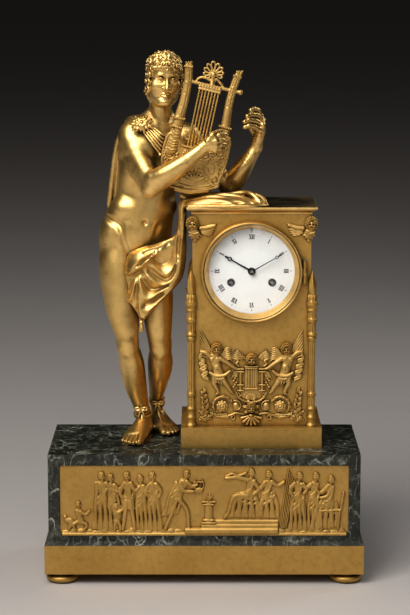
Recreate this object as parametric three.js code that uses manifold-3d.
// Gilt bronze mantel clock: a standing lyre player leans on a pedestal that holds the movement,
// above a dark green marble base with a gilt frieze.
// Millimetres, +Z up, the front faces -Y, the origin is the middle of the footprint on the floor.

import * as THREE from 'three';
import { mergeVertices } from 'three/addons/utils/BufferGeometryUtils.js';
import Module from 'manifold-3d';

const wasm = await Module();
wasm.setup();

// Clearances
const SEAT_GAP = 0.3; // between pieces that are cut to fit each other
const RUNNING_GAP = 0.3; // round shafts that turn in a hole
const END_PLAY = 0.3; // between an arbor's end and the plate that holds it
const MESH_PLAY = 0.1; // between the pitch circles of two wheels

// Base
const FOOT_HEIGHT = 12;
const FOOT_RADIUS = 18.2;
const FOOT_NECK = 11.3; // radius where a foot meets its lug
const FOOT_INSET = 18.6; // from the band's sides to a foot's centre
const FOOT_LUG_THICKNESS = 6; // corner lugs inside the band
const BAND_HEIGHT = 32.5;
const BAND_WALL = 5;
const MARBLE_WIDTH = 345;
const MARBLE_DEPTH = 150;
const MARBLE_HEIGHT = 102.5;
const FLARE_HEIGHT = 15.5;
const FLARE_OUT = 4;
const BAND_LEDGE = 0.5; // band outside the marble's flare
const FRIEZE_WIDTH = 319;
const FRIEZE_HEIGHT = 76;
const FRIEZE_THICKNESS = 4;
const FRIEZE_RECESS = 5;
const FRIEZE_TOP_MARGIN = 12.5;

// Pedestal
const PEDESTAL_X = 52.5;
const PEDESTAL_SETBACK = 30; // plinth front behind the marble's front
const PLINTH_WIDTH = 156.7;
const PLINTH_DEPTH = 110;
const PLINTH_HEIGHT = 23.7;
const CASE_WIDTH = 131;
const CASE_DEPTH = 88;
const CASE_HEIGHT = 238.3;
const CASE_WALL = 4;
const CAP_OVERHANG = 6.5;
const CAP_HEIGHT = 8;
const CAP_FILLET = 3;

// Torches on the corners of the case
const TORCH_HEIGHT = 176;
const TORCH_RADIUS = 6.6; // at the widest ring
const TORCH_OUT = 1.5; // centre outside the corner, along each side

// Dial, bezel and hands, measured from the case front
const DIAL_RISE = 174.3; // dial centre above the foot of the case
const SIGHT_RADIUS = 47.5; // enamel that shows inside the bezel
const BEZEL_RADIUS = 56.4;
const BEZEL_PROUD = 10;
const BEZEL_SLOPE = 5; // width of the sloping ring round the enamel
const BEZEL_LIP = 2; // how far the bezel reaches into the dial hole
const DIAL_HOLE_RADIUS = 50.5;
const DIAL_THICKNESS = 1.6;
const DIAL_DOME = 1.6;
const DIAL_CENTRE_HOLE = 3.6;
const WINDING_HOLE_RADIUS = 4.2;
const GLASS_THICKNESS = 1.2;
const GLASS_LEDGE = 0.6; // how far the glass lies on the bezel
const GLASS_DEPTH = 2.6; // glass edge behind the bezel's front
const GLASS_DOME = 4.5;
const MINUTE_HAND_LENGTH = 40;
const HOUR_HAND_LENGTH = 35;
const HAND_THICKNESS = 0.7;
const HOUR_HAND_Y = 0.7; // fronts of the hands behind the case front
const MINUTE_HAND_Y = -1.4;
const MINUTE_HAND_ANGLE = 60; // degrees clockwise from XII
const HOUR_HAND_ANGLE = 300;
const HINGE_REACH = 58.5; // bezel hinge axis from the dial centre
const HINGE_PROUD = 6; // bezel hinge axis in front of the case
const KNUCKLE_RADIUS = 2;
const KNUCKLE_LENGTH = 8;
const LUG_WIDTH = 2.8; // of the lugs that carry the hinges
const PIN_RADIUS = 0.8;

// Movement
const MOTION_SPACE = 9; // between the dial's back and the front plate
const PLATE_RADIUS = 48.2;
const PLATE_THICKNESS = 2.5;
const PILLAR_LENGTH = 28;
const PILLAR_RADIUS = 2.5;
const RING_WALL = 3;
const RING_FLANGE = 57;
const BARREL_X = 22.7; // winding arbors, from the dial centre
const BARREL_Z = -12.7;
const BARREL_RADIUS = 16.3;
const BARREL_WALL = 1.5;
const GOING_BARREL_LENGTH = 13.5;
const STRIKE_BARREL_LENGTH = 9.5; // shorter, so that its wheel clears the centre pinion
const GREAT_WHEEL_THICKNESS = 2.5;
const GREAT_TEETH = 40;
const CENTRE_LEAVES = 12;
const GREAT_MODULE = 1;
const CENTRE_TEETH = 48;
const THIRD_LEAVES = 8;
const CENTRE_MODULE = 0.7;
const THIRD_TEETH = 42;
const ESCAPE_LEAVES = 6;
const THIRD_MODULE = 0.66;
const ESCAPE_TEETH = 30;
const ESCAPE_RADIUS = 9;
const CANNON_LEAVES = 8;
const MINUTE_TEETH = 24;
const MOTION_MODULE = 0.75;
const MINUTE_LEAVES = 6;
const HOUR_TEETH = 24;
const HOUR_MODULE = 0.8;
const CANNON_RADIUS = 1.8;
const HOUR_PIPE_RADIUS = 3;
const RATCHET_TEETH = 16;
const RATCHET_MODULE = 0.7;
const COUNT_TEETH = 20;
const COUNT_MODULE = 1.5;
const WHEEL_THICKNESS = 1.3;
const PINION_SPARE = 0.5; // how far a pinion stands past its wheel on each side
const ARBOR_RADIUS = 0.9;
const WINDING_ARBOR_RADIUS = 2.2;
const ANCHOR_RISE = 34.5; // anchor and pendulum axis above the dial centre
const REGULATOR_RISE = 45.5;
const REGULATOR_RADIUS = 1.2;
const PENDULUM_LENGTH = 165; // from the axis to the middle of the bob
const PENDULUM_BACK = 11.5; // pendulum plane behind the back plate
const COCK_BACK = 5.5; // cock behind the back plate
const COCK_THICKNESS = 2.5;
const COCK_WIDTH = 30;
const COCK_HEIGHT = 7;
const SPOOL_RADIUS = 2.4; // winds the pendulum's thread
const ROD_RADIUS = 1;
const THREAD_RADIUS = 0.5;
const BOB_RADIUS = 17;
const BOB_THICKNESS = 9;
const BELL_RADIUS = 25;
const BELL_WALL = 1.5;
const BELL_DEPTH = 16;
const BELL_BACK = 4; // bell rim behind the pendulum plane
const BELL_POST_RADIUS = 1.6;
const BELL_X = 16;
const BELL_Z = -20;
const HAMMER_X = -14;
const HAMMER_Z = -40;
const HAMMER_HEAD_RADIUS = 3.2;

// Back door
const DOOR_WIDTH = 106;
const DOOR_HEIGHT = 212;
const DOOR_THICKNESS = 2.5;
const DOOR_LAP = 4; // how far the door laps the opening all round
const DOOR_HINGE_BACK = 3.5; // door hinge axis behind the case
const DOOR_KNOB_RADIUS = 3;
const DOOR_KNOB_LENGTH = 5;
const DOOR_RISE = 12; // door's lower edge above the foot of the case

// Mounts and lyre
const MOUNT_RELIEF = 4; // usual height of the mounts on the case front
const LYRE_CAP_RISE = 270; // cap top above the marble when the lyre is at its drawn height
const LYRE_Y = -21; // middle of the lyre's thickness
const LYRE_HALF_DEPTH = 4.5;
const STRING_COUNT = 7;
const STRING_RADIUS = 0.7;

// Facets
const ROUND = 32;
const SMALL_ROUND = 8;
const LIMB_SIDES = 9;

// Places that follow from the sizes above
const BAND_WIDTH = MARBLE_WIDTH + 2 * (FLARE_OUT + BAND_LEDGE);
const BAND_DEPTH = MARBLE_DEPTH + 2 * (FLARE_OUT + BAND_LEDGE);
const BAND_Z = FOOT_HEIGHT;
const MARBLE_Z = BAND_Z + BAND_HEIGHT;
const STAGE_Z = MARBLE_Z + MARBLE_HEIGHT;
const MARBLE_FRONT_Y = -MARBLE_DEPTH / 2;
const PEDESTAL_Y = MARBLE_FRONT_Y + PEDESTAL_SETBACK + PLINTH_DEPTH / 2;
const CASE_Z = STAGE_Z + PLINTH_HEIGHT;
const CAP_Z = CASE_Z + CASE_HEIGHT;
const CAP_TOP_Z = CAP_Z + CAP_HEIGHT;
const CASE_FRONT_Y = PEDESTAL_Y - CASE_DEPTH / 2;
const DIAL_Z = CASE_Z + DIAL_RISE;
const FRONT_PLATE_Y = CASE_WALL + DIAL_THICKNESS + MOTION_SPACE;
const TRAIN_Y = FRONT_PLATE_Y + PLATE_THICKNESS;
const BACK_PLATE_Y = TRAIN_Y + PILLAR_LENGTH;
const MOVEMENT_BACK_Y = BACK_PLATE_Y + PLATE_THICKNESS;
const PENDULUM_Y = MOVEMENT_BACK_Y + PENDULUM_BACK;
const COCK_Y = MOVEMENT_BACK_Y + COCK_BACK;
const BELL_RIM_Y = PENDULUM_Y + BELL_BACK;
const BELL_CROWN_Y = BELL_RIM_Y + BELL_DEPTH;
const GLASS_SEAT = BEZEL_PROUD - GLASS_DEPTH; // glass edge in front of the case
const GLASS_RADIUS = SIGHT_RADIUS + BEZEL_SLOPE + GLASS_LEDGE;
const DOOR_HINGE_X = DOOR_WIDTH / 2 + KNUCKLE_RADIUS + SEAT_GAP;

const BACK = new THREE.Vector3(0, 1, 0);
const UP = new THREE.Vector3(0, 0, 1);

// Materials, one for each mesh
const gilt = () => new THREE.MeshStandardMaterial({ color: 0xb98a3a, roughness: 0.42, metalness: 1 });
const brass = () => new THREE.MeshStandardMaterial({ color: 0xc2a04e, roughness: 0.35, metalness: 1 });
const steel = () => new THREE.MeshStandardMaterial({ color: 0x8a8c90, roughness: 0.3, metalness: 1 });
const blued = () => new THREE.MeshStandardMaterial({ color: 0x1a1c26, roughness: 0.3, metalness: 0.8 });
const enamel = () => new THREE.MeshStandardMaterial({ color: 0xe8e8ea, roughness: 0.15, metalness: 0 });
const marble = () => new THREE.MeshStandardMaterial({ color: 0x20281f, roughness: 0.25, metalness: 0 });
const glass = () => {
  const clear = new THREE.MeshStandardMaterial({ color: 0xf4f8f8, roughness: 0.05, metalness: 0 });
  clear.transparent = true;
  clear.opacity = 0.2;
  return clear;
};

// Turns a geometry into one closed body with shared corners and its faces pointing out.
function closed(geometry) {
  const bare = geometry.clone();
  for (const name of Object.keys(bare.attributes)) {
    if (name !== 'position') bare.deleteAttribute(name);
  }
  const merged = mergeVertices(bare, 1e-4);
  const corners = merged.attributes.position;
  const faces = [];
  let volume = 0;
  const [a, b, c] = [new THREE.Vector3(), new THREE.Vector3(), new THREE.Vector3()];
  for (let i = 0; i < merged.index.count; i += 3) {
    const face = [merged.index.getX(i), merged.index.getX(i + 1), merged.index.getX(i + 2)];
    if (new Set(face).size < 3) continue;
    a.fromBufferAttribute(corners, face[0]);
    b.fromBufferAttribute(corners, face[1]);
    c.fromBufferAttribute(corners, face[2]);
    volume += a.dot(b.cross(c));
    faces.push(face);
  }
  if (volume < 0) faces.forEach((face) => face.reverse());
  merged.setIndex(faces.flat());
  return merged;
}

function toSolid(geometry) {
  const body = closed(geometry);
  const vertProperties = new Float32Array(body.attributes.position.array);
  const triVerts = new Uint32Array(body.index.array);
  return new wasm.Manifold(new wasm.Mesh({ numProp: 3, vertProperties, triVerts }));
}

function toGeometry(solid) {
  const mesh = solid.getMesh();
  const geometry = new THREE.BufferGeometry();
  geometry.setAttribute('position', new THREE.BufferAttribute(mesh.vertProperties, 3));
  geometry.setIndex(new THREE.BufferAttribute(mesh.triVerts, 1));
  return geometry;
}

function join(...geometries) {
  return toGeometry(geometries.map(toSolid).reduce((whole, next) => whole.add(next)));
}

function cut(geometry, ...tools) {
  return toGeometry(tools.map(toSolid).reduce((left, tool) => left.subtract(tool), toSolid(geometry)));
}

function piece(name, geometry, material) {
  const mesh = new THREE.Mesh(closed(geometry), material);
  mesh.geometry.computeVertexNormals();
  mesh.name = name;
  return mesh;
}

// A box given by its middle in plan and its lower face.
function block(width, depth, height, x = 0, y = 0, z = 0) {
  return new THREE.BoxGeometry(width, depth, height).translate(x, y, z + height / 2);
}

// Turned about the upright axis: points are [radius, height].
function turned(points, sides = SMALL_ROUND) {
  const profile = points.map(([radius, height]) => new THREE.Vector2(radius, height));
  return new THREE.LatheGeometry(profile, sides).rotateX(Math.PI / 2);
}

// Turned about a front-to-back axis: points are [radius, distance back].
function faceTurned(points, sides = SMALL_ROUND) {
  return new THREE.LatheGeometry(points.map(([radius, back]) => new THREE.Vector2(radius, back)), sides);
}

// A round bar along the front-to-back axis, from one depth to another.
function bar(radius, from, to, x = 0, z = 0, sides = SMALL_ROUND) {
  return faceTurned([[0, from], [radius, from], [radius, to], [0, to]], sides).translate(x, 0, z);
}

// A flat plate cut to an outline in the front view, from one depth to another.
function plate(outline, from, to) {
  const depth = to - from;
  const geometry = new THREE.ExtrudeGeometry(outline, { depth, bevelEnabled: false, curveSegments: 8 });
  return geometry.rotateX(Math.PI / 2).translate(0, to, 0);
}

// A block whose plan changes with height: each level is [width, depth, height].
function tiered(levels) {
  const position = [];
  const index = [];
  for (const [width, depth, height] of levels) {
    for (const [sx, sy] of [[-1, -1], [1, -1], [1, 1], [-1, 1]]) {
      position.push((sx * width) / 2, (sy * depth) / 2, height);
    }
  }
  for (let level = 0; level + 1 < levels.length; level += 1) {
    for (let side = 0; side < 4; side += 1) {
      const low = level * 4 + side;
      const next = level * 4 + ((side + 1) % 4);
      index.push(low, next, next + 4, low, next + 4, low + 4);
    }
  }
  const top = (levels.length - 1) * 4;
  index.push(0, 2, 1, 0, 3, 2, top, top + 1, top + 2, top, top + 2, top + 3);
  return indexed(position, index);
}

function indexed(position, index) {
  const geometry = new THREE.BufferGeometry();
  geometry.setAttribute('position', new THREE.Float32BufferAttribute(position, 3));
  geometry.setIndex(index);
  return geometry;
}

// A limb, fold or stem: stations are [x, y, z, half width, half depth], joined by a smooth curve.
function limb(stations, options = {}) {
  const { steps = 2 * (stations.length - 1), sides = LIMB_SIDES, grow = 0, towards = BACK } = options;
  const path = new THREE.CatmullRomCurve3(stations.map(([x, y, z]) => new THREE.Vector3(x, y, z)));
  const girth = new THREE.CatmullRomCurve3(
    stations.map(([, , , across, deep = across]) => new THREE.Vector3(across, deep, 0)));
  const position = [];
  const index = [];
  for (let step = 0; step <= steps; step += 1) {
    const centre = path.getPoint(step / steps);
    const size = girth.getPoint(step / steps);
    const along = path.getTangent(step / steps);
    const across = along.clone().cross(towards).normalize();
    const deep = across.clone().cross(along).normalize();
    for (let side = 0; side < sides; side += 1) {
      const turn = (2 * Math.PI * side) / sides;
      const corner = centre.clone();
      corner.addScaledVector(across, (size.x + grow) * Math.cos(turn));
      corner.addScaledVector(deep, (size.y + grow) * Math.sin(turn));
      position.push(...corner.toArray());
    }
  }
  for (let step = 0; step < steps; step += 1) {
    for (let side = 0; side < sides; side += 1) {
      const low = step * sides + side;
      const next = step * sides + ((side + 1) % sides);
      index.push(low, next, next + sides, low, next + sides, low + sides);
    }
  }
  [path.getPoint(0), path.getPoint(1)].forEach((end, last) => {
    const middle = position.length / 3;
    const ring = last ? steps * sides : 0;
    position.push(...end.toArray());
    for (let side = 0; side < sides; side += 1) {
      const [low, next] = [ring + side, ring + ((side + 1) % sides)];
      index.push(...(last ? [low, next, middle] : [next, low, middle]));
    }
  });
  return indexed(position, index);
}

// Base: feet, band, marble and frieze

function footProfile() {
  return [
    [0, 0],
    [FOOT_RADIUS * 0.8, 0],
    [FOOT_RADIUS, FOOT_HEIGHT * 0.3],
    [FOOT_RADIUS, FOOT_HEIGHT * 0.5],
    [FOOT_RADIUS * 0.86, FOOT_HEIGHT * 0.78],
    [FOOT_NECK, FOOT_HEIGHT * 0.84],
    [FOOT_NECK, FOOT_HEIGHT],
    [0, FOOT_HEIGHT],
  ];
}

function base() {
  const group = new THREE.Group();
  const footX = BAND_WIDTH / 2 - FOOT_INSET;
  const footY = BAND_DEPTH / 2 - FOOT_INSET;
  for (const [side, sx] of [['left', -1], ['right', 1]]) {
    for (const [end, sy] of [['front', -1], ['rear', 1]]) {
      const foot = piece(`foot_${end}_${side}`, turned(footProfile(), 16), gilt());
      foot.position.set(sx * footX, sy * footY, 0);
      group.add(foot);
    }
  }

  const hollowWidth = BAND_WIDTH - 2 * BAND_WALL;
  const hollowDepth = BAND_DEPTH - 2 * BAND_WALL;
  const hollow = block(hollowWidth, hollowDepth, BAND_HEIGHT, 0, 0, -BAND_WALL);
  const lugWidth = FOOT_INSET + FOOT_NECK + 1;
  const lugs = [];
  for (const sx of [-1, 1]) {
    for (const sy of [-1, 1]) {
      const lugX = (sx * (BAND_WIDTH - lugWidth)) / 2;
      const lugY = (sy * (BAND_DEPTH - lugWidth)) / 2;
      lugs.push(block(lugWidth, lugWidth, FOOT_LUG_THICKNESS, lugX, lugY));
    }
  }
  const shell = cut(block(BAND_WIDTH, BAND_DEPTH, BAND_HEIGHT), hollow);
  const band = piece('plinth_band', join(shell, ...lugs), gilt());
  band.position.z = BAND_Z;
  group.add(band);

  const levels = [];
  const flareSteps = 4;
  for (let step = 0; step <= flareSteps; step += 1) {
    const turn = (step / flareSteps) * (Math.PI / 2);
    const out = FLARE_OUT * (1 - Math.sin(turn));
    levels.push([MARBLE_WIDTH + 2 * out, MARBLE_DEPTH + 2 * out, FLARE_HEIGHT * (1 - Math.cos(turn))]);
  }
  levels.push([MARBLE_WIDTH, MARBLE_DEPTH, MARBLE_HEIGHT]);
  const friezeZ = MARBLE_HEIGHT - FRIEZE_TOP_MARGIN - FRIEZE_HEIGHT;
  const recess = block(FRIEZE_WIDTH + 2 * SEAT_GAP, 2 * FRIEZE_RECESS, FRIEZE_HEIGHT + 2 * SEAT_GAP,
    0, MARBLE_FRONT_Y, friezeZ - SEAT_GAP);
  const stone = piece('marble_block', cut(tiered(levels), recess), marble());
  stone.position.z = MARBLE_Z;
  group.add(stone);

  const panelY = MARBLE_FRONT_Y + FRIEZE_RECESS - FRIEZE_THICKNESS / 2 - SEAT_GAP;
  const panel = piece('frieze_panel', block(FRIEZE_WIDTH, FRIEZE_THICKNESS, FRIEZE_HEIGHT), gilt());
  panel.position.set(0, panelY, MARBLE_Z + friezeZ);
  group.add(panel);
  return group;
}

// Pedestal: plinth, case walls, cap, torches and mounts, in a frame at the foot of the case

function caseBlock(grow) {
  return block(CASE_WIDTH + 2 * grow, CASE_DEPTH + 2 * grow, CASE_HEIGHT);
}

function caseWalls() {
  const frontY = -CASE_DEPTH / 2 + CASE_WALL / 2;
  const dialHole = bar(DIAL_HOLE_RADIUS, -CASE_DEPTH, 0, 0, DIAL_RISE, ROUND);
  const hingeY = -CASE_DEPTH / 2 - HINGE_PROUD;
  const frontKnuckles = [-1, 1].map((end) => {
    const centre = DIAL_RISE + end * (KNUCKLE_LENGTH + END_PLAY);
    const lug = block(LUG_WIDTH, HINGE_PROUD, KNUCKLE_LENGTH, HINGE_REACH,
      hingeY + HINGE_PROUD / 2, centre - KNUCKLE_LENGTH / 2);
    return join(lug, knuckle().translate(HINGE_REACH, hingeY, centre));
  });
  const frontPin = pinHole().translate(HINGE_REACH, hingeY, DIAL_RISE);
  const front = cut(block(CASE_WIDTH, CASE_WALL, CASE_HEIGHT, 0, frontY), dialHole);

  const doorway = block(DOOR_WIDTH - 2 * DOOR_LAP, 4 * CASE_WALL, DOOR_HEIGHT - 2 * DOOR_LAP,
    0, CASE_DEPTH / 2, DOOR_RISE + DOOR_LAP);
  const back = cut(block(CASE_WIDTH, CASE_WALL, CASE_HEIGHT, 0, -frontY), doorway);
  const middle = DOOR_RISE + DOOR_HEIGHT / 2;
  const backKnuckles = [-1, 1].map((end) => {
    const centre = middle + end * (KNUCKLE_LENGTH + END_PLAY);
    const lug = block(LUG_WIDTH, DOOR_HINGE_BACK, KNUCKLE_LENGTH, DOOR_HINGE_X,
      CASE_DEPTH / 2 + DOOR_HINGE_BACK / 2, centre - KNUCKLE_LENGTH / 2);
    return join(lug, knuckle().translate(DOOR_HINGE_X, CASE_DEPTH / 2 + DOOR_HINGE_BACK, centre));
  });
  const backPin = pinHole().translate(DOOR_HINGE_X, CASE_DEPTH / 2 + DOOR_HINGE_BACK, middle);

  const side = block(CASE_WALL, CASE_DEPTH - 2 * CASE_WALL, CASE_HEIGHT);
  const sideX = CASE_WIDTH / 2 - CASE_WALL / 2;
  return [
    piece('case_front', cut(join(front, ...frontKnuckles), frontPin), gilt()),
    piece('case_back', cut(join(back, ...backKnuckles), backPin), gilt()),
    piece('case_left_side', side.clone().translate(-sideX, 0, 0), gilt()),
    piece('case_right_side', side.clone().translate(sideX, 0, 0), gilt()),
  ];
}

// A hinge's barrel and its pin, centred on the hinge.
function knuckle() {
  const end = KNUCKLE_LENGTH / 2;
  return turned([[0, -end], [KNUCKLE_RADIUS, -end], [KNUCKLE_RADIUS, end], [0, end]]);
}

function pinHole() {
  const reach = 4 * KNUCKLE_LENGTH;
  const radius = PIN_RADIUS + RUNNING_GAP;
  return turned([[0, -reach], [radius, -reach], [radius, reach], [0, reach]]);
}

function hingePin() {
  const reach = KNUCKLE_LENGTH * 1.5 + END_PLAY;
  const head = PIN_RADIUS * 2;
  return turned([
    [0, -reach], [PIN_RADIUS, -reach], [PIN_RADIUS, reach + END_PLAY], [head, reach + END_PLAY],
    [head, reach + head], [0, reach + head],
  ]);
}

function capGeometry() {
  const levels = [[CASE_WIDTH, CASE_DEPTH, 0]];
  const coveSteps = 3;
  const coveHeight = CAP_HEIGHT - CAP_FILLET;
  const coveOut = CAP_OVERHANG * 0.8;
  for (let step = 1; step <= coveSteps; step += 1) {
    const turn = (step / coveSteps) * (Math.PI / 2);
    const out = coveOut * (1 - Math.cos(turn));
    levels.push([CASE_WIDTH + 2 * out, CASE_DEPTH + 2 * out, coveHeight * Math.sin(turn)]);
  }
  const [width, depth] = [CASE_WIDTH + 2 * CAP_OVERHANG, CASE_DEPTH + 2 * CAP_OVERHANG];
  levels.push([width, depth, coveHeight + 0.2], [width, depth, CAP_HEIGHT]);
  return tiered(levels);
}

// Rings and stems of a torch as shares of its own height and widest radius.
const TORCH_PROFILE = [
  [0.85, 0], [0.7, 0.05], [0.5, 0.07], [0.48, 0.2], [0.6, 0.21], [0.6, 0.225], [0.4, 0.24], [0.54, 0.56],
  [0.7, 0.575], [0.66, 0.69], [0.85, 0.7], [0.7, 0.74], [1, 0.8], [1, 0.835], [0.72, 0.85], [0.7, 0.89],
];

function torch() {
  const profile = TORCH_PROFILE.map(([radius, height]) => [radius * TORCH_RADIUS, height * TORCH_HEIGHT]);
  return turned([[0, 0], ...profile, [0, TORCH_HEIGHT]], 8);
}

function pedestal() {
  const group = new THREE.Group();
  group.position.set(PEDESTAL_X, PEDESTAL_Y, CASE_Z);
  const plinth = piece('pedestal_plinth', block(PLINTH_WIDTH, PLINTH_DEPTH, PLINTH_HEIGHT), gilt());
  plinth.position.z = -PLINTH_HEIGHT;
  const cap = piece('case_cap', capGeometry(), gilt());
  cap.position.z = CASE_HEIGHT;
  group.add(plinth, cap, ...caseWalls());

  const cornerX = CASE_WIDTH / 2 + TORCH_OUT;
  const cornerY = CASE_DEPTH / 2 + TORCH_OUT;
  for (const [side, sx] of [['left', -1], ['right', 1]]) {
    for (const [end, sy] of [['front', -1], ['rear', 1]]) {
      const stem = cut(torch().translate(sx * cornerX, sy * cornerY, 0), caseBlock(SEAT_GAP));
      group.add(piece(`torch_${end}_${side}`, stem, gilt()));
    }
    group.add(piece(`winged_bust_${side}`, wingedBust(sx), gilt()));
    group.add(piece(`putto_${side}`, putto(sx), gilt()));
  }
  group.add(piece('lyre_trophy', lyreTrophy(), gilt()));
  return group;
}

// A mount on the case front: its forms are given by place across, place up and half width.
function relief(stations, deep = MOUNT_RELIEF, sides = 6) {
  const frontY = -CASE_DEPTH / 2;
  const steps = stations.length + 1;
  return limb(stations.map(([x, z, half]) => [x, frontY, z, half, deep]), { sides, steps });
}

function onFront(...forms) {
  return cut(join(...forms), caseBlock(SEAT_GAP));
}

// A bust of a winged figure on an upper front corner, above a small leaf knop.
function wingedBust(side) {
  const corner = (side * CASE_WIDTH) / 2;
  const top = CASE_HEIGHT - 1;
  const frontY = -CASE_DEPTH / 2;
  const stack = [[-29, 1.5], [-25, 4.8], [-20, 3.4], [-14, 5.5], [-11, 4.2], [-6, 6.2], [-2, 3]];
  const bust = limb(stack.map(([z, half]) => [corner, frontY, top + z, half]));
  const inward = (x) => corner - side * x;
  const wing = relief([[inward(2), top - 13, 3], [inward(14), top - 9, 6], [inward(27), top - 10, 2]], 3.2);
  return cut(join(bust, wing), caseBlock(SEAT_GAP));
}

// A small winged child in flight with a ribbon, facing the middle of the front.
function putto(side) {
  const at = (x, z, half) => [side * x, z, half];
  return onFront(
    relief([at(47, 84, 3), at(47, 89.5, 5.6), at(47, 95, 3)], 5.5),
    relief([at(46, 87, 3.6), at(43, 75, 7.4), at(42, 62, 7), at(41, 57, 4)], 5),
    relief([at(44, 60, 4.6), at(45, 50, 4), at(44, 42, 2.8), at(42, 33, 2.4)]),
    relief([at(40, 60, 5), at(34, 52, 4.2), at(28, 44, 3), at(24, 38, 2.2)]),
    relief([at(40, 80, 3.4), at(30, 73, 2.8), at(21, 66, 2.2)]),
    relief([at(50, 80, 3.2), at(56, 86, 2.6), at(58.5, 92, 2)]),
    relief([at(52, 78, 3), at(57, 68, 4), at(54, 58, 2.5), at(46, 56, 2)], 2.6),
    relief([at(39, 84, 3), at(28, 91, 5), at(18, 86, 2.5)], 2.6),
  );
}

// A lyre trophy with two columns and a bowl, over leaf scrolls, rosettes and a shell.
function lyreTrophy() {
  const forms = [
    relief([[0, 33, 8], [0, 40, 6.5], [0, 62, 6], [0, 76, 6.5], [0, 88, 5.5]], 3.4),
    relief([[-17, 38, 3], [-9, 30, 4.5], [0, 27, 5], [9, 30, 4.5], [17, 38, 3]], 4.4),
    relief([[0, 27, 9], [0, 18, 8], [0, 9, 11], [0, 1, 4]], 4.2),
  ];
  for (const side of [-1, 1]) {
    const at = (x, z, half) => [side * x, z, half];
    forms.push(
      relief([at(12, 34, 4), at(12.5, 52, 2.8), at(13, 66, 3.6), at(9, 76, 3)], 4),
      relief([at(4, 24, 4), at(14, 22, 4), at(26, 14, 3.6), at(40, 9, 3.4), at(55, 7, 4)], 3.6),
      relief([at(32, 14, 6), at(32, 24, 9.5), at(32, 33, 6)], 5),
      relief([at(52, 6, 5), at(51, 18, 4), at(53, 30, 3.4), at(53, 42, 1.6)], 3),
    );
  }
  return onFront(...forms);
}

// Bezel, glass, dial and hands, in a frame at the dial centre on the case front

function bezelGeometry() {
  const back = -SEAT_GAP;
  const ring = faceTurned([
    [SIGHT_RADIUS, BEZEL_LIP],
    [SIGHT_RADIUS + BEZEL_SLOPE, -GLASS_SEAT],
    [GLASS_RADIUS + SEAT_GAP, -GLASS_SEAT],
    [GLASS_RADIUS + SEAT_GAP, -BEZEL_PROUD + 0.6],
    [BEZEL_RADIUS - 1.8, -BEZEL_PROUD],
    [BEZEL_RADIUS - 0.6, -BEZEL_PROUD * 0.85],
    [BEZEL_RADIUS - 1, -BEZEL_PROUD * 0.6],
    [BEZEL_RADIUS, -BEZEL_PROUD * 0.4],
    [BEZEL_RADIUS, back],
    [DIAL_HOLE_RADIUS - SEAT_GAP, back],
    [DIAL_HOLE_RADIUS - SEAT_GAP, BEZEL_LIP],
    [SIGHT_RADIUS, BEZEL_LIP],
  ], ROUND);
  const reach = HINGE_REACH - BEZEL_RADIUS + 2;
  const arm = block(reach, KNUCKLE_RADIUS, KNUCKLE_LENGTH,
    HINGE_REACH - reach / 2, -HINGE_PROUD, -KNUCKLE_LENGTH / 2);
  const eye = knuckle().translate(HINGE_REACH, -HINGE_PROUD, 0);
  return cut(join(ring, arm, eye), pinHole().translate(HINGE_REACH, -HINGE_PROUD, 0));
}

function glassGeometry() {
  const rise = (radius) => GLASS_DOME * (1 - (radius / GLASS_RADIUS) ** 2);
  const radii = [0, 0.5, 0.8, 1].map((share) => share * GLASS_RADIUS);
  const inside = radii.map((radius) => [radius, -GLASS_SEAT - SEAT_GAP - rise(radius)]);
  const outside = radii.map((radius) => [radius, -GLASS_SEAT - SEAT_GAP - GLASS_THICKNESS - rise(radius)]);
  return faceTurned([...inside, ...outside.reverse()], ROUND);
}

function dialGeometry() {
  const radius = PLATE_RADIUS;
  const rise = (r) => DIAL_DOME * (1 - (r / radius) ** 2);
  const radii = [0, 0.5, 1].map((share) => share * radius);
  const front = radii.map((r) => [r, CASE_WALL - rise(r)]);
  const back = radii.map((r) => [r, CASE_WALL + DIAL_THICKNESS - rise(r)]);
  const through = [
    bar(DIAL_CENTRE_HOLE, 0, TRAIN_Y, 0, 0, 12),
    bar(REGULATOR_RADIUS + RUNNING_GAP, 0, TRAIN_Y, 0, REGULATOR_RISE),
    ...[-1, 1].map((side) => bar(WINDING_HOLE_RADIUS, 0, TRAIN_Y, side * BARREL_X, BARREL_Z, 12)),
  ];
  return cut(faceTurned([...front, ...back.reverse()], ROUND), ...through);
}

// A moon hand pointing at XII: a boss, a slim shaft, a ring and a tip.
function handOutline(length, bossRadius, boreRadius, shaft, moonRadius) {
  const moon = length * 0.8;
  const outline = new THREE.Shape();
  const notch = shaft / bossRadius;
  outline.absarc(0, 0, bossRadius, Math.PI / 2 - notch, notch - 1.5 * Math.PI, true);
  outline.lineTo(-shaft * 0.7, moon - moonRadius);
  outline.absarc(0, moon, moonRadius, 1.4 * Math.PI, 0.6 * Math.PI, true);
  outline.lineTo(-shaft, moon + moonRadius * 2.4);
  outline.lineTo(0, length);
  outline.lineTo(shaft, moon + moonRadius * 2.4);
  outline.absarc(0, moon, moonRadius, 0.4 * Math.PI, -0.4 * Math.PI, true);
  outline.lineTo(shaft * 0.7, moon - moonRadius);
  outline.holes.push(new THREE.Path().absarc(0, 0, boreRadius, 0, 2 * Math.PI));
  outline.holes.push(new THREE.Path().absarc(0, moon, moonRadius * 0.62, 0, 2 * Math.PI));
  return outline;
}

function hand(name, outline, front, angle) {
  const mesh = piece(name, plate(outline, front, front + HAND_THICKNESS), blued());
  mesh.rotation.y = THREE.MathUtils.degToRad(angle);
  return mesh;
}

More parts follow.
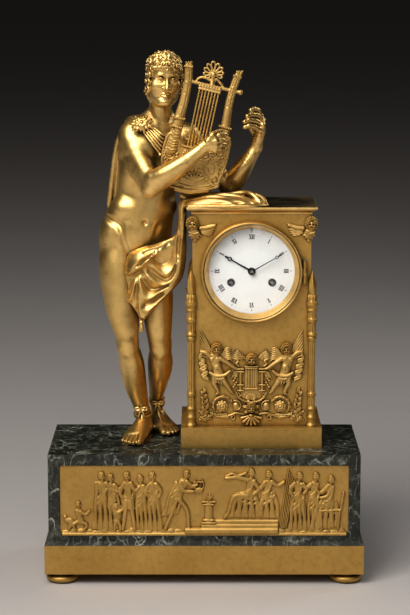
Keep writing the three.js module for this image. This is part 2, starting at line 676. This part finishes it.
function dialSide() {
  const minute = handOutline(MINUTE_HAND_LENGTH, 3.2, CANNON_RADIUS + SEAT_GAP, 0.55, 1.9);
  const hour = handOutline(HOUR_HAND_LENGTH, 4.2, HOUR_PIPE_RADIUS + SEAT_GAP, 0.8, 2.4);
  return [
    piece('bezel', bezelGeometry(), gilt()),
    piece('bezel_hinge_pin', hingePin().translate(HINGE_REACH, -HINGE_PROUD, 0), steel()),
    piece('dial_glass', glassGeometry(), glass()),
    piece('dial', dialGeometry(), enamel()),
    hand('minute_hand', minute, MINUTE_HAND_Y, MINUTE_HAND_ANGLE),
    hand('hour_hand', hour, HOUR_HAND_Y, HOUR_HAND_ANGLE),
  ];
}

// Toothed wheels

// Pointed teeth round a pitch circle, with one tooth towards the given direction.
function toothed(teeth, module, towards, boreRadius = 0) {
  const pitch = (teeth * module) / 2;
  const outline = new THREE.Shape();
  for (let tooth = 0; tooth < teeth; tooth += 1) {
    for (const [share, radius] of [[0, pitch + 0.75 * module], [0.5, pitch - 1.25 * module]]) {
      const turn = towards + (2 * Math.PI * (tooth + share)) / teeth;
      const [x, z] = [radius * Math.cos(turn), radius * Math.sin(turn)];
      if (tooth === 0 && share === 0) outline.moveTo(x, z);
      else outline.lineTo(x, z);
    }
  }
  outline.closePath();
  if (boreRadius > 0) outline.holes.push(new THREE.Path().absarc(0, 0, boreRadius, 0, 2 * Math.PI));
  return outline;
}

// Two arbors in mesh: their distance, and the directions that put a tooth opposite a space.
const meshDistance = (teeth, leaves, module) => ((teeth + leaves) * module) / 2 + MESH_PLAY;

const directionTo = ([x0, z0], [x1, z1]) => Math.atan2(z1 - z0, x1 - x0);

const spaceTowards = (from, to, teeth) => directionTo(from, to) + Math.PI / teeth;

// Arbor centres in the front view, from the dial centre
const CENTRE = [0, 0];
const GOING_BARREL = [BARREL_X, BARREL_Z];
const STRIKE_BARREL = [-BARREL_X, BARREL_Z];
const COUNT = [-BARREL_X, BARREL_Z + meshDistance(GREAT_TEETH, CENTRE_LEAVES, GREAT_MODULE)];
const THIRD_DISTANCE = meshDistance(CENTRE_TEETH, THIRD_LEAVES, CENTRE_MODULE);
const THIRD = [THIRD_DISTANCE * Math.SQRT1_2, THIRD_DISTANCE * Math.SQRT1_2];
const ESCAPE_DISTANCE = meshDistance(THIRD_TEETH, ESCAPE_LEAVES, THIRD_MODULE);
const ESCAPE = [0, THIRD[1] + Math.sqrt(ESCAPE_DISTANCE ** 2 - THIRD[0] ** 2)];
const MINUTE = [0, -meshDistance(CANNON_LEAVES, MINUTE_TEETH, MOTION_MODULE)];

// Depths of the wheels, from the case front
const BARREL_FRONT_Y = TRAIN_Y + 1.5;
const GREAT_Y = BARREL_FRONT_Y + GOING_BARREL_LENGTH;
const STRIKE_GREAT_Y = BARREL_FRONT_Y + STRIKE_BARREL_LENGTH;
const CENTRE_WHEEL_Y = GREAT_Y + GREAT_WHEEL_THICKNESS + 2.5;
const THIRD_WHEEL_Y = CENTRE_WHEEL_Y + WHEEL_THICKNESS + 2.7;
const ESCAPE_WHEEL_Y = BACK_PLATE_Y - 0.6 - WHEEL_THICKNESS;
const HOUR_WHEEL_Y = FRONT_PLATE_Y - 6.6;
const MINUTE_WHEEL_Y = FRONT_PLATE_Y - 3.4;
const ARBOR_FROM = TRAIN_Y + END_PLAY;
const ARBOR_TO = BACK_PLATE_Y - END_PLAY;

function placed(geometry, [x, z]) {
  return geometry.translate(x, 0, z);
}

function disc(radius, bores, from, to) {
  const round = faceTurned([[0, from], [radius, from], [radius, to], [0, to]], ROUND);
  return cut(round, ...bores.map(([x, z, bore]) => bar(bore, from - 1, to + 1, x, z)));
}

function movementFrame() {
  const inner = PLATE_RADIUS + SEAT_GAP;
  const ring = faceTurned([
    [inner, CASE_WALL],
    [RING_FLANGE, CASE_WALL],
    [RING_FLANGE, CASE_WALL + RING_WALL],
    [inner + RING_WALL, CASE_WALL + RING_WALL],
    [inner + RING_WALL, TRAIN_Y],
    [inner, TRAIN_Y],
    [inner, CASE_WALL],
  ], ROUND);
  const regulator = [0, REGULATOR_RISE, REGULATOR_RADIUS + RUNNING_GAP];
  const winders = [-1, 1].map((side) => [side * BARREL_X, BARREL_Z, WINDING_ARBOR_RADIUS + RUNNING_GAP]);
  const cannonBore = [0, 0, CANNON_RADIUS + RUNNING_GAP];
  const front = disc(PLATE_RADIUS, [cannonBore, regulator, ...winders], FRONT_PLATE_Y, TRAIN_Y);
  const stud = placed(bar(ARBOR_RADIUS, HOUR_WHEEL_Y - 1, FRONT_PLATE_Y + 1), MINUTE);

  const back = disc(PLATE_RADIUS, [
    regulator, [0, ANCHOR_RISE, ARBOR_RADIUS + RUNNING_GAP], [...COUNT, ARBOR_RADIUS + RUNNING_GAP],
    [HAMMER_X, HAMMER_Z, ARBOR_RADIUS + RUNNING_GAP],
  ], BACK_PLATE_Y, MOVEMENT_BACK_Y);
  const pillars = [[9, -42.5], [-9, -42.5], [38, 22], [-38, 22]].map((place) =>
    placed(bar(PILLAR_RADIUS, TRAIN_Y, BACK_PLATE_Y + 1), place));
  const postEnd = BELL_CROWN_Y - BELL_WALL - SEAT_GAP;
  const post = bar(BELL_POST_RADIUS, BACK_PLATE_Y + 1, postEnd, BELL_X, BELL_Z);
  return [
    piece('movement_ring', ring, brass()),
    piece('front_plate', join(front, stud), brass()),
    piece('back_plate', join(back, ...pillars, post), brass()),
  ];
}

// A barrel with the great wheel on its back, open in front for the spring.
function barrelGeometry(centre, mate, greatY) {
  const bore = WINDING_ARBOR_RADIUS + RUNNING_GAP;
  const inside = BARREL_RADIUS - BARREL_WALL;
  const drumEnd = greatY + GREAT_WHEEL_THICKNESS / 2;
  const drum = faceTurned([
    [bore, drumEnd],
    [bore, greatY - BARREL_WALL],
    [inside, greatY - BARREL_WALL],
    [inside, BARREL_FRONT_Y],
    [BARREL_RADIUS, BARREL_FRONT_Y],
    [BARREL_RADIUS, drumEnd],
    [bore, drumEnd],
  ], 16);
  const wheel = toothed(GREAT_TEETH, GREAT_MODULE, directionTo(centre, mate), bore);
  return placed(join(drum, plate(wheel, greatY, greatY + GREAT_WHEEL_THICKNESS)), centre);
}

// A coiled ribbon of steel between the arbor and the barrel's wall.
function mainspringGeometry(centre, greatY) {
  const turns = 4;
  const stepsPerTurn = 10;
  const ribbon = 0.7;
  const inner = WINDING_ARBOR_RADIUS + SEAT_GAP;
  const outer = BARREL_RADIUS - BARREL_WALL - SEAT_GAP - ribbon;
  const edge = (offset) => Array.from({ length: turns * stepsPerTurn + 1 }, (_, step) => {
    const turn = (2 * Math.PI * step) / stepsPerTurn;
    const radius = inner + ((outer - inner) * step) / (turns * stepsPerTurn) + offset;
    return new THREE.Vector2(radius * Math.cos(turn), radius * Math.sin(turn));
  });
  const outline = new THREE.Shape([...edge(0), ...edge(ribbon).reverse()]);
  return placed(plate(outline, BARREL_FRONT_Y + 1, greatY - BARREL_WALL - SEAT_GAP), centre);
}

// A winding arbor with a squared front end and its ratchet wheel under the dial.
function windingArborGeometry(centre) {
  const squareTip = CASE_WALL - 1.2;
  const square = bar(WINDING_ARBOR_RADIUS * 0.85, squareTip, FRONT_PLATE_Y, 0, 0, 4);
  const round = bar(WINDING_ARBOR_RADIUS, FRONT_PLATE_Y - 1, ARBOR_TO);
  const ratchet = plate(toothed(RATCHET_TEETH, RATCHET_MODULE, 0), FRONT_PLATE_Y - 3, FRONT_PLATE_Y - 1);
  return placed(join(square, round, ratchet), centre);
}

function barrels() {
  return [
    piece('going_barrel', barrelGeometry(GOING_BARREL, CENTRE, GREAT_Y), brass()),
    piece('strike_barrel', barrelGeometry(STRIKE_BARREL, COUNT, STRIKE_GREAT_Y), brass()),
    piece('going_mainspring', mainspringGeometry(GOING_BARREL, GREAT_Y), steel()),
    piece('strike_mainspring', mainspringGeometry(STRIKE_BARREL, STRIKE_GREAT_Y), steel()),
    piece('going_winding_arbor', windingArborGeometry(GOING_BARREL), steel()),
    piece('strike_winding_arbor', windingArborGeometry(STRIKE_BARREL), steel()),
  ];
}

function goingTrain() {
  const pinion = (leaves, module, wheelY, thickness, own, mate) =>
    plate(toothed(leaves, module, spaceTowards(own, mate, leaves)),
      wheelY - PINION_SPARE, wheelY + thickness + PINION_SPARE);
  const wheel = (teeth, module, from, own, mate) =>
    plate(toothed(teeth, module, directionTo(own, mate)), from, from + WHEEL_THICKNESS);

  const centre = join(
    bar(ARBOR_RADIUS, MINUTE_HAND_Y - 2.6, ARBOR_TO),
    pinion(CENTRE_LEAVES, GREAT_MODULE, GREAT_Y, GREAT_WHEEL_THICKNESS, CENTRE, GOING_BARREL),
    wheel(CENTRE_TEETH, CENTRE_MODULE, CENTRE_WHEEL_Y, CENTRE, THIRD),
  );
  const third = join(
    bar(ARBOR_RADIUS, ARBOR_FROM, ARBOR_TO),
    pinion(THIRD_LEAVES, CENTRE_MODULE, CENTRE_WHEEL_Y, WHEEL_THICKNESS, THIRD, CENTRE),
    wheel(THIRD_TEETH, THIRD_MODULE, THIRD_WHEEL_Y, THIRD, ESCAPE),
  );
  const escapeModule = (2 * ESCAPE_RADIUS) / (ESCAPE_TEETH + 1.5);
  const escape = join(
    bar(ARBOR_RADIUS, ARBOR_FROM, ARBOR_TO),
    pinion(ESCAPE_LEAVES, THIRD_MODULE, THIRD_WHEEL_Y, WHEEL_THICKNESS, ESCAPE, THIRD),
    wheel(ESCAPE_TEETH, escapeModule, ESCAPE_WHEEL_Y, ESCAPE, CENTRE),
  );
  const countY = MOVEMENT_BACK_Y + 1;
  const count = join(
    bar(ARBOR_RADIUS, ARBOR_FROM, MOVEMENT_BACK_Y + 3),
    pinion(CENTRE_LEAVES, GREAT_MODULE, STRIKE_GREAT_Y, GREAT_WHEEL_THICKNESS, COUNT, STRIKE_BARREL),
    plate(toothed(COUNT_TEETH, COUNT_MODULE, 0), countY, countY + WHEEL_THICKNESS),
  );
  return [
    piece('centre_wheel', centre, brass()),
    piece('third_wheel', placed(third, THIRD), brass()),
    piece('escape_wheel', placed(escape, ESCAPE), brass()),
    piece('count_wheel', placed(count, COUNT), brass()),
  ];
}

function motionWork() {
  const bore = ARBOR_RADIUS + RUNNING_GAP;
  const tube = (inner, outer, from, to) =>
    faceTurned([[inner, from], [outer, from], [outer, to], [inner, to], [inner, from]]);
  const pinionBore = (bore + CANNON_RADIUS) / 2;
  const cannonPinion = toothed(CANNON_LEAVES, MOTION_MODULE, directionTo(CENTRE, MINUTE), pinionBore);
  const cannonEnd = FRONT_PLATE_Y - SEAT_GAP;
  const cannon = join(
    tube(bore, CANNON_RADIUS, MINUTE_HAND_Y - 0.4, cannonEnd),
    plate(cannonPinion, MINUTE_WHEEL_Y - PINION_SPARE, cannonEnd),
  );
  const minuteStart = spaceTowards(MINUTE, CENTRE, MINUTE_TEETH);
  const minuteWheel = toothed(MINUTE_TEETH, MOTION_MODULE, minuteStart, bore);
  const minutePinion = toothed(MINUTE_LEAVES, HOUR_MODULE, directionTo(MINUTE, CENTRE), bore);
  const minute = join(
    plate(minuteWheel, MINUTE_WHEEL_Y, MINUTE_WHEEL_Y + WHEEL_THICKNESS),
    plate(minutePinion, HOUR_WHEEL_Y - PINION_SPARE, MINUTE_WHEEL_Y + PINION_SPARE),
  );
  const pipeBore = CANNON_RADIUS + RUNNING_GAP;
  const hourWheel = toothed(HOUR_TEETH, HOUR_MODULE, spaceTowards(CENTRE, MINUTE, HOUR_TEETH), pipeBore);
  const hour = join(
    tube(pipeBore, HOUR_PIPE_RADIUS, HOUR_HAND_Y - 0.4, HOUR_WHEEL_Y + WHEEL_THICKNESS),
    plate(hourWheel, HOUR_WHEEL_Y, HOUR_WHEEL_Y + WHEEL_THICKNESS),
  );
  return [
    piece('cannon_pinion', cannon, steel()),
    piece('minute_wheel', placed(minute, MINUTE), brass()),
    piece('hour_wheel', hour, brass()),
  ];
}

// Anchor, crutch, cock, regulator and pendulum

function escapement() {
  const clear = ESCAPE_RADIUS + 1.2;
  const pallet = (turn) => [clear * Math.sin(turn), ESCAPE[1] + clear * Math.cos(turn)];
  const outline = new THREE.Shape();
  outline.moveTo(-1.8, ANCHOR_RISE + 1.8);
  outline.lineTo(...pallet(-1.15).map((value, axis) => value + (axis ? 1 : -2)));
  outline.lineTo(...pallet(-1.05));
  for (const turn of [-0.7, -0.35, 0, 0.35, 0.7, 1.05]) {
    const [x, z] = pallet(turn);
    const lift = Math.abs(turn) < 0.9 ? 1.2 : 0;
    outline.lineTo(x, z + lift);
  }
  outline.lineTo(...pallet(1.15).map((value, axis) => value + (axis ? 1 : 2)));
  outline.lineTo(1.8, ANCHOR_RISE + 1.8);
  outline.closePath();

  const crutchWidth = 2.4;
  const crutchThickness = 1.4;
  const crutchFoot = -4;
  const forkPin = 0.6;
  const fork = ROD_RADIUS + RUNNING_GAP + forkPin;
  const crutchY = MOVEMENT_BACK_Y + 2 + crutchThickness / 2;
  const crutch = block(crutchWidth, crutchThickness, ANCHOR_RISE - crutchFoot + 1, 0, crutchY, crutchFoot);
  const yoke = block(2 * (fork + forkPin), crutchThickness, crutchWidth, 0, crutchY, crutchFoot);
  const pins = [-1, 1].map((side) =>
    bar(forkPin, crutchY, PENDULUM_Y + 1.5, side * fork, crutchFoot + crutchWidth / 2));
  const anchor = join(
    plate(outline, ESCAPE_WHEEL_Y, ESCAPE_WHEEL_Y + WHEEL_THICKNESS),
    bar(ARBOR_RADIUS, ARBOR_FROM, COCK_Y - END_PLAY, 0, ANCHOR_RISE), crutch, yoke, ...pins,
  );

  const cockFoot = ANCHOR_RISE - COCK_HEIGHT / 2;
  const cockMiddle = COCK_Y + COCK_THICKNESS / 2;
  const footWidth = 5;
  const bridge = block(COCK_WIDTH, COCK_THICKNESS, COCK_HEIGHT, 0, cockMiddle, cockFoot);
  const arm = block(8, COCK_THICKNESS, REGULATOR_RISE - ANCHOR_RISE + 4, 0, cockMiddle, ANCHOR_RISE);
  const feet = [-1, 1].map((side) => block(footWidth, COCK_BACK + 1, COCK_HEIGHT,
    (side * (COCK_WIDTH - footWidth)) / 2, (MOVEMENT_BACK_Y + COCK_Y + 1) / 2, cockFoot));
  const bore = bar(REGULATOR_RADIUS + RUNNING_GAP, COCK_Y - 1, PENDULUM_Y, 0, REGULATOR_RISE);
  const cock = cut(join(bridge, arm, ...feet), bore);

  const spool = bar(SPOOL_RADIUS, PENDULUM_Y - 2, PENDULUM_Y + 2, 0, REGULATOR_RISE);
  const regulator = join(bar(REGULATOR_RADIUS, CASE_WALL - 2, PENDULUM_Y + 2, 0, REGULATOR_RISE), spool);
  return [
    piece('anchor_and_crutch', anchor, steel()),
    piece('suspension_cock', cock, brass()),
    piece('regulator_arbor', regulator, steel()),
  ];
}

function pendulum() {
  const bobZ = ANCHOR_RISE - PENDULUM_LENGTH;
  const threadTop = REGULATOR_RISE - SPOOL_RADIUS - SEAT_GAP;
  const rodTop = ANCHOR_RISE - 5;
  const rodFoot = bobZ - BOB_RADIUS - 5;
  const nutTop = rodFoot + 2.5;
  const upright = (radius, from, to) => turned([[0, from], [radius, from], [radius, to], [0, to]]);
  const rod = join(
    upright(THREAD_RADIUS, rodTop - 1, threadTop),
    upright(ROD_RADIUS, rodFoot, rodTop),
    upright(ROD_RADIUS * 2, rodFoot, nutTop),
  );
  const edge = 0.6;
  const lens = [0, 0.5, 0.8, 1].map((share) =>
    [share * BOB_RADIUS, (BOB_THICKNESS / 2) * (1 - share ** 2) + edge]);
  const back = lens.map(([radius, depth]) => [radius, -depth]);
  const bore = upright(ROD_RADIUS + SEAT_GAP, -BOB_RADIUS * 2, BOB_RADIUS * 2);
  const bob = cut(faceTurned([...back, ...lens.reverse()], 16), bore);
  return [
    piece('pendulum_rod', rod.translate(0, PENDULUM_Y, 0), steel()),
    piece('pendulum_bob', bob.translate(0, PENDULUM_Y, bobZ), brass()),
  ];
}

function strikeWork() {
  const hollow = BELL_RADIUS - BELL_WALL;
  const curve = [0, 0.3, 0.6, 0.85, 1].map((share) => [share, Math.sqrt(1 - 0.9 * share ** 2)]);
  const outside = curve.map(([share, rise]) => [share * BELL_RADIUS, BELL_RIM_Y + BELL_DEPTH * rise]);
  const inside = curve.map(([share, rise]) => [share * hollow, BELL_RIM_Y + BELL_DEPTH * rise - BELL_WALL]);
  const bell = faceTurned([...inside, ...outside.reverse()], 16).translate(BELL_X, 0, BELL_Z);

  const armY = BELL_RIM_Y + BELL_DEPTH * 0.32 - 1;
  const headX = BELL_X - BELL_RADIUS - HAMMER_HEAD_RADIUS - RUNNING_GAP;
  const reach = BELL_Z - HAMMER_Z;
  const hammer = join(
    bar(ARBOR_RADIUS, BACK_PLATE_Y - 4, armY + 2, HAMMER_X, HAMMER_Z),
    block(2.4, 2, reach + 3, (HAMMER_X + headX) / 2, armY + 1, HAMMER_Z - 1.5),
    bar(HAMMER_HEAD_RADIUS, armY, armY + 4, headX, BELL_Z),
  );
  return [
    piece('bell', bell, brass()),
    piece('hammer', hammer, steel()),
  ];
}

function clockwork() {
  const group = new THREE.Group();
  group.position.set(PEDESTAL_X, CASE_FRONT_Y, DIAL_Z);
  group.add(...dialSide(), ...movementFrame(), ...barrels(), ...goingTrain(), ...motionWork());
  group.add(...escapement(), ...pendulum(), ...strikeWork());
  return group;
}

// Back door, in the pedestal's frame
function backDoor() {
  const group = new THREE.Group();
  group.position.set(PEDESTAL_X, PEDESTAL_Y + CASE_DEPTH / 2, CASE_Z);
  const middle = DOOR_RISE + DOOR_HEIGHT / 2;
  const leaf = block(DOOR_WIDTH, DOOR_THICKNESS, DOOR_HEIGHT, 0, SEAT_GAP + DOOR_THICKNESS / 2, DOOR_RISE);
  const reach = KNUCKLE_RADIUS * 2;
  const arm = block(reach, KNUCKLE_RADIUS, KNUCKLE_LENGTH, DOOR_HINGE_X - reach / 2 - 0.5,
    DOOR_HINGE_BACK - KNUCKLE_RADIUS / 2, middle - KNUCKLE_LENGTH / 2);
  const eye = knuckle().translate(DOOR_HINGE_X, DOOR_HINGE_BACK, middle);
  const knobX = -DOOR_WIDTH / 2 + 3 * DOOR_KNOB_RADIUS;
  const knob = bar(DOOR_KNOB_RADIUS, DOOR_THICKNESS, DOOR_THICKNESS + DOOR_KNOB_LENGTH, knobX, middle);
  const pivot = pinHole().translate(DOOR_HINGE_X, DOOR_HINGE_BACK, middle);
  const pin = hingePin().translate(DOOR_HINGE_X, DOOR_HINGE_BACK, middle);
  group.add(
    piece('back_door', cut(join(leaf, arm, eye, knob), pivot), gilt()),
    piece('back_door_hinge_pin', pin, steel()),
  );
  return group;
}

// Figure, in a frame on top of the marble: stations are [x, y, z, half width, half depth]

const TORSO = [
  [-76, 13, 192, 22, 16], [-77, 15, 222, 40, 26], [-73, 13, 247, 37.5, 24], [-70, 13, 266, 35, 22.5],
  [-64, 13, 294, 37.5, 24], [-57, 12, 328, 41, 25], [-53, 13, 347, 34, 18], [-50, 12, 360, 13, 13],
  [-47.5, 7, 375, 9.5, 10.5], [-46.5, 4, 388, 9, 10],
];
const RIGHT_LEG = [
  [-88, 15, 226, 20, 21], [-95, 8, 184, 20, 21.5], [-90, 0, 138, 15.7, 17], [-86.5, -3, 104, 11.8, 13],
  [-81, 5, 79, 15, 15], [-76.5, 13, 54, 12, 12.5], [-70.5, 19, 27, 7.3, 8.5], [-68, 20, 4, 8, 9.5],
];
const RIGHT_FOOT = [[-66, 27, 7, 7, 8], [-70, 10, 9, 9, 10], [-76, -12, 6, 12, 7], [-81, -36, 3.4, 9, 4]];
const LEFT_LEG = [
  [-62, 16, 222, 20, 21], [-53, 10, 162, 17.5, 19], [-51, 7, 125, 14.5, 16], [-49.5, 6, 101, 12.3, 13.5],
  [-50, 17, 84, 14.5, 15], [-52, 32, 62, 11.2, 12], [-54, 48, 32, 7.3, 8.5], [-55, 52, 4, 8, 9.5],
];
const LEFT_FOOT = [[-57, 60, 7, 7, 8], [-53, 48, 9, 9, 10], [-46, 34, 6, 11.5, 7], [-39, 21, 3.4, 9, 4]];
const HEAD = [
  [-46, -8, 378, 6, 7], [-46, -3, 386, 13.5, 16], [-45.5, 0, 400, 17.5, 20.5], [-45, 2, 415, 19.5, 23],
  [-44.5, 3, 430, 16.5, 19], [-44.3, 3, 440.5, 8, 9],
];
const RIGHT_ARM = [
  [-82, 12, 345, 13, 13], [-72, -7, 320, 12.5, 12.5], [-60, -25, 294, 11.5, 11.5], [-44, -34, 303, 12, 12],
  [-26, -39, 316, 10.5, 10.5], [1, -41, 338, 6.6, 6], [15, -40, 342, 8.5, 6], [25, -36, 340, 6, 5],
];

// The left elbow and the drapery under it rest on the cap.
const CAP_RISE = CAP_TOP_Z - STAGE_Z;
const LEFT_ARM = [
  [-22, 15, 341, 13, 13], [4, 15, 313, 12, 12], [27, 13, CAP_RISE + 17, 11, 11],
  [35, 11, CAP_RISE + 28, 12, 12], [44, 9, CAP_RISE + 39, 10.5, 10.5], [58.5, 5, CAP_RISE + 61, 6.6, 6],
  [63, 2, CAP_RISE + 78, 9, 6], [55, -8, CAP_RISE + 94, 9, 5],
];

function figureBody(grow = 0) {
  const below = block(MARBLE_WIDTH, MARBLE_DEPTH, STAGE_Z, 0, 0, -STAGE_Z);
  const flat = { grow, towards: UP, sides: 8 };
  const whole = join(
    limb(TORSO, { grow, sides: 14 }), limb(RIGHT_LEG, { grow }), limb(LEFT_LEG, { grow }),
    limb(RIGHT_FOOT, flat), limb(LEFT_FOOT, flat),
  );
  return cut(whole, below);
}

const figureHead = (grow = 0) => limb(HEAD, { grow, sides: 12 });
const rightArm = (grow = 0) => limb(RIGHT_ARM, { grow });
const leftArm = (grow = 0) => limb(LEFT_ARM, { grow });

// Lyre: two horns, a sound box, a yoke with its crest, and strings, leaning to the right
function lyre() {
  const stem = (places, sides = 6) =>
    limb(places.map(([x, z, half, deep = half]) => [x, LYRE_Y, z, half, deep]), { sides });
  const box = new THREE.Shape();
  box.moveTo(-35, 291);
  box.quadraticCurveTo(-47, 306, -46, 330);
  box.lineTo(-38, 352);
  box.quadraticCurveTo(-10, 318, 20, 348);
  box.lineTo(29, 330);
  box.quadraticCurveTo(25, 304, 8, 288);
  box.closePath();
  const soundBox = plate(box, LYRE_Y - LYRE_HALF_DEPTH, LYRE_Y + LYRE_HALF_DEPTH);
  const foot = stem([[-37, 292, 3, 6], [-14, 289, 3.4, 6.5], [10, 287.5, 3, 6]]);
  const leftHorn = stem([
    [-39, 345, 6, 5], [-30, 368, 5, 4.5], [-21, 395, 4.2, 4], [-18, 418, 4.4, 4], [-17.5, 430, 3, 3],
  ]);
  const rightHorn = stem([
    [22, 345, 5.4, 4.8], [24, 362, 4.6, 4.4], [28, 388, 3.8, 3.8], [35, 408, 4, 3.8], [39, 420, 2.6, 2.6],
  ]);
  const yoke = stem([[-20, 405, 1.8], [4, 401, 3.6, 2.6], [30, 396, 1.8], [42, 393, 3]]);
  const crest = stem([[7, 402, 9, 2.4], [9, 412, 4, 2], [10.5, 420, 8.5, 2], [11.5, 431, 3, 1.6]]);
  const forms = [soundBox, foot, leftHorn, rightHorn, yoke, crest];
  for (let string = 0; string < STRING_COUNT; string += 1) {
    const share = string / (STRING_COUNT - 1);
    const top = [-5 + 20 * share, 400 - 3 * share];
    const bottom = [-19 + 23 * share, 326 - 3 * share];
    forms.push(stem([[...bottom, STRING_RADIUS], [...top, STRING_RADIUS]], 4));
  }
  return join(...forms).translate(0, 0, CAP_RISE - LYRE_CAP_RISE);
}

// Cloak: hangs behind from the right shoulder and crosses the breast to a bead
function cloak() {
  const fold = (stations) => limb(stations, { sides: 6 });
  return join(
    fold([[-92, 22, 355, 8, 6], [-101, 31, 330, 9, 7], [-104, 35, 295, 9, 7], [-107, 36, 262, 8, 6]]),
    fold([[-80, 30, 358, 12, 7], [-86, 37, 320, 14, 7], [-88, 40, 290, 14, 7], [-91, 40, 258, 13, 6]]),
    fold([[-58, 32, 358, 14, 7], [-64, 41, 320, 16, 7], [-66, 43, 290, 16, 7], [-68, 42, 264, 15, 6]]),
    fold([[-34, 32, 352, 14, 7], [-38, 40, 320, 15, 7], [-42, 42, 290, 14, 7], [-44, 40, 268, 13, 6]]),
    fold([
      [-92, 24, 356, 6, 8], [-84, 12, 364, 7, 8], [-74, 0, 361, 8, 6], [-66, -9, 352, 8, 4],
      [-50, -16, 332, 5, 3.5],
    ]),
    fold([[-80, 26, 360, 9, 9], [-72, 14, 365, 8, 8], [-70, 2, 361, 7, 5]]),
  );
}

// Drapery: lies on the cap under the elbow, falls from its corner and sweeps across the thighs
function drapery() {
  const fold = (stations) => limb(stations, { sides: 6 });
  const top = CAP_RISE;
  const capEdge = PEDESTAL_X - CASE_WIDTH / 2 - CAP_OVERHANG;
  return join(
    fold([
      [capEdge - 4, -20, top + 3, 5, 8], [10, -22, top + 3.4, 4, 12], [40, -16, top + 3.2, 4, 14],
      [66, -6, top + 2.4, 3, 10],
    ]),
    fold([[capEdge - 4, 6, top + 4, 5, 16], [14, 8, top + 4, 4.5, 18], [40, 12, top + 3.4, 4, 14]]),
    fold([
      [0, -20, top + 4, 5, 7], [capEdge - 5, -22, top + 1, 4.5, 7], [-25, -22, 240, 6, 5],
      [-31, -18, 200, 8, 5], [-40, -16, 176, 5, 5],
    ]),
    fold([
      [2, 4, top + 4, 5, 10], [capEdge - 5, 0, top + 1, 4.5, 10], [-27, -8, 235, 8, 8],
      [-34, -13, 195, 9, 6], [-42, -15, 172, 5, 5],
    ]),
    fold([
      [-24, -20, 235, 5, 4], [-46, -20, 226, 6, 4], [-72, -20, 216, 8, 5], [-90, -19, 204, 9, 6],
      [-96, -17, 192, 6, 5],
    ]),
    fold([[-30, -20, 214, 7, 4], [-52, -22, 196, 9, 4], [-74, -22, 196, 8, 4], [-88, -20, 202, 6, 4]]),
    fold([[-34, -18, 186, 8, 4], [-50, -22, 176, 10, 4], [-68, -22, 184, 10, 4], [-84, -20, 196, 6, 4]]),
    fold([
      [-82, -20, 200, 9, 4], [-80, -21, 178, 8, 4], [-73, -22, 158, 6, 4], [-69.5, -22, 142, 3, 3],
      [-69, -22, 133, 2.4, 2.4],
    ]),
    fold([[-52, -20, 176, 9, 4], [-62, -22, 162, 8, 4], [-69, -22, 146, 4, 3.5]]),
  );
}

function figure() {
  const group = new THREE.Group();
  group.position.z = STAGE_Z;
  const capSpread = 2 * (CAP_OVERHANG + SEAT_GAP);
  const capRoom = block(CASE_WIDTH + capSpread, CASE_DEPTH + capSpread, CASE_HEIGHT,
    PEDESTAL_X, PEDESTAL_Y, CAP_RISE + SEAT_GAP - CASE_HEIGHT);
  const bodyRoom = figureBody(SEAT_GAP);
  const armRooms = [rightArm(SEAT_GAP), leftArm(SEAT_GAP)];
  const lyreSolid = cut(lyre(), bodyRoom, figureHead(SEAT_GAP), ...armRooms);
  const headSolid = cut(figureHead(), bodyRoom);
  const clothRooms = [bodyRoom, ...armRooms, figureHead(SEAT_GAP), capRoom];
  group.add(
    piece('figure_body', figureBody(), gilt()),
    piece('figure_head', headSolid, gilt()),
    piece('figure_right_arm', cut(rightArm(), bodyRoom), gilt()),
    piece('figure_left_arm', cut(leftArm(), bodyRoom), gilt()),
    piece('lyre', lyreSolid, gilt()),
    piece('cloak', cut(cloak(), ...clothRooms), gilt()),
    piece('drapery', cut(drapery(), ...clothRooms), gilt()),
  );
  return group;
}

const clock = new THREE.Group();
clock.add(base(), pedestal(), clockwork(), backDoor(), figure());

export default clock;
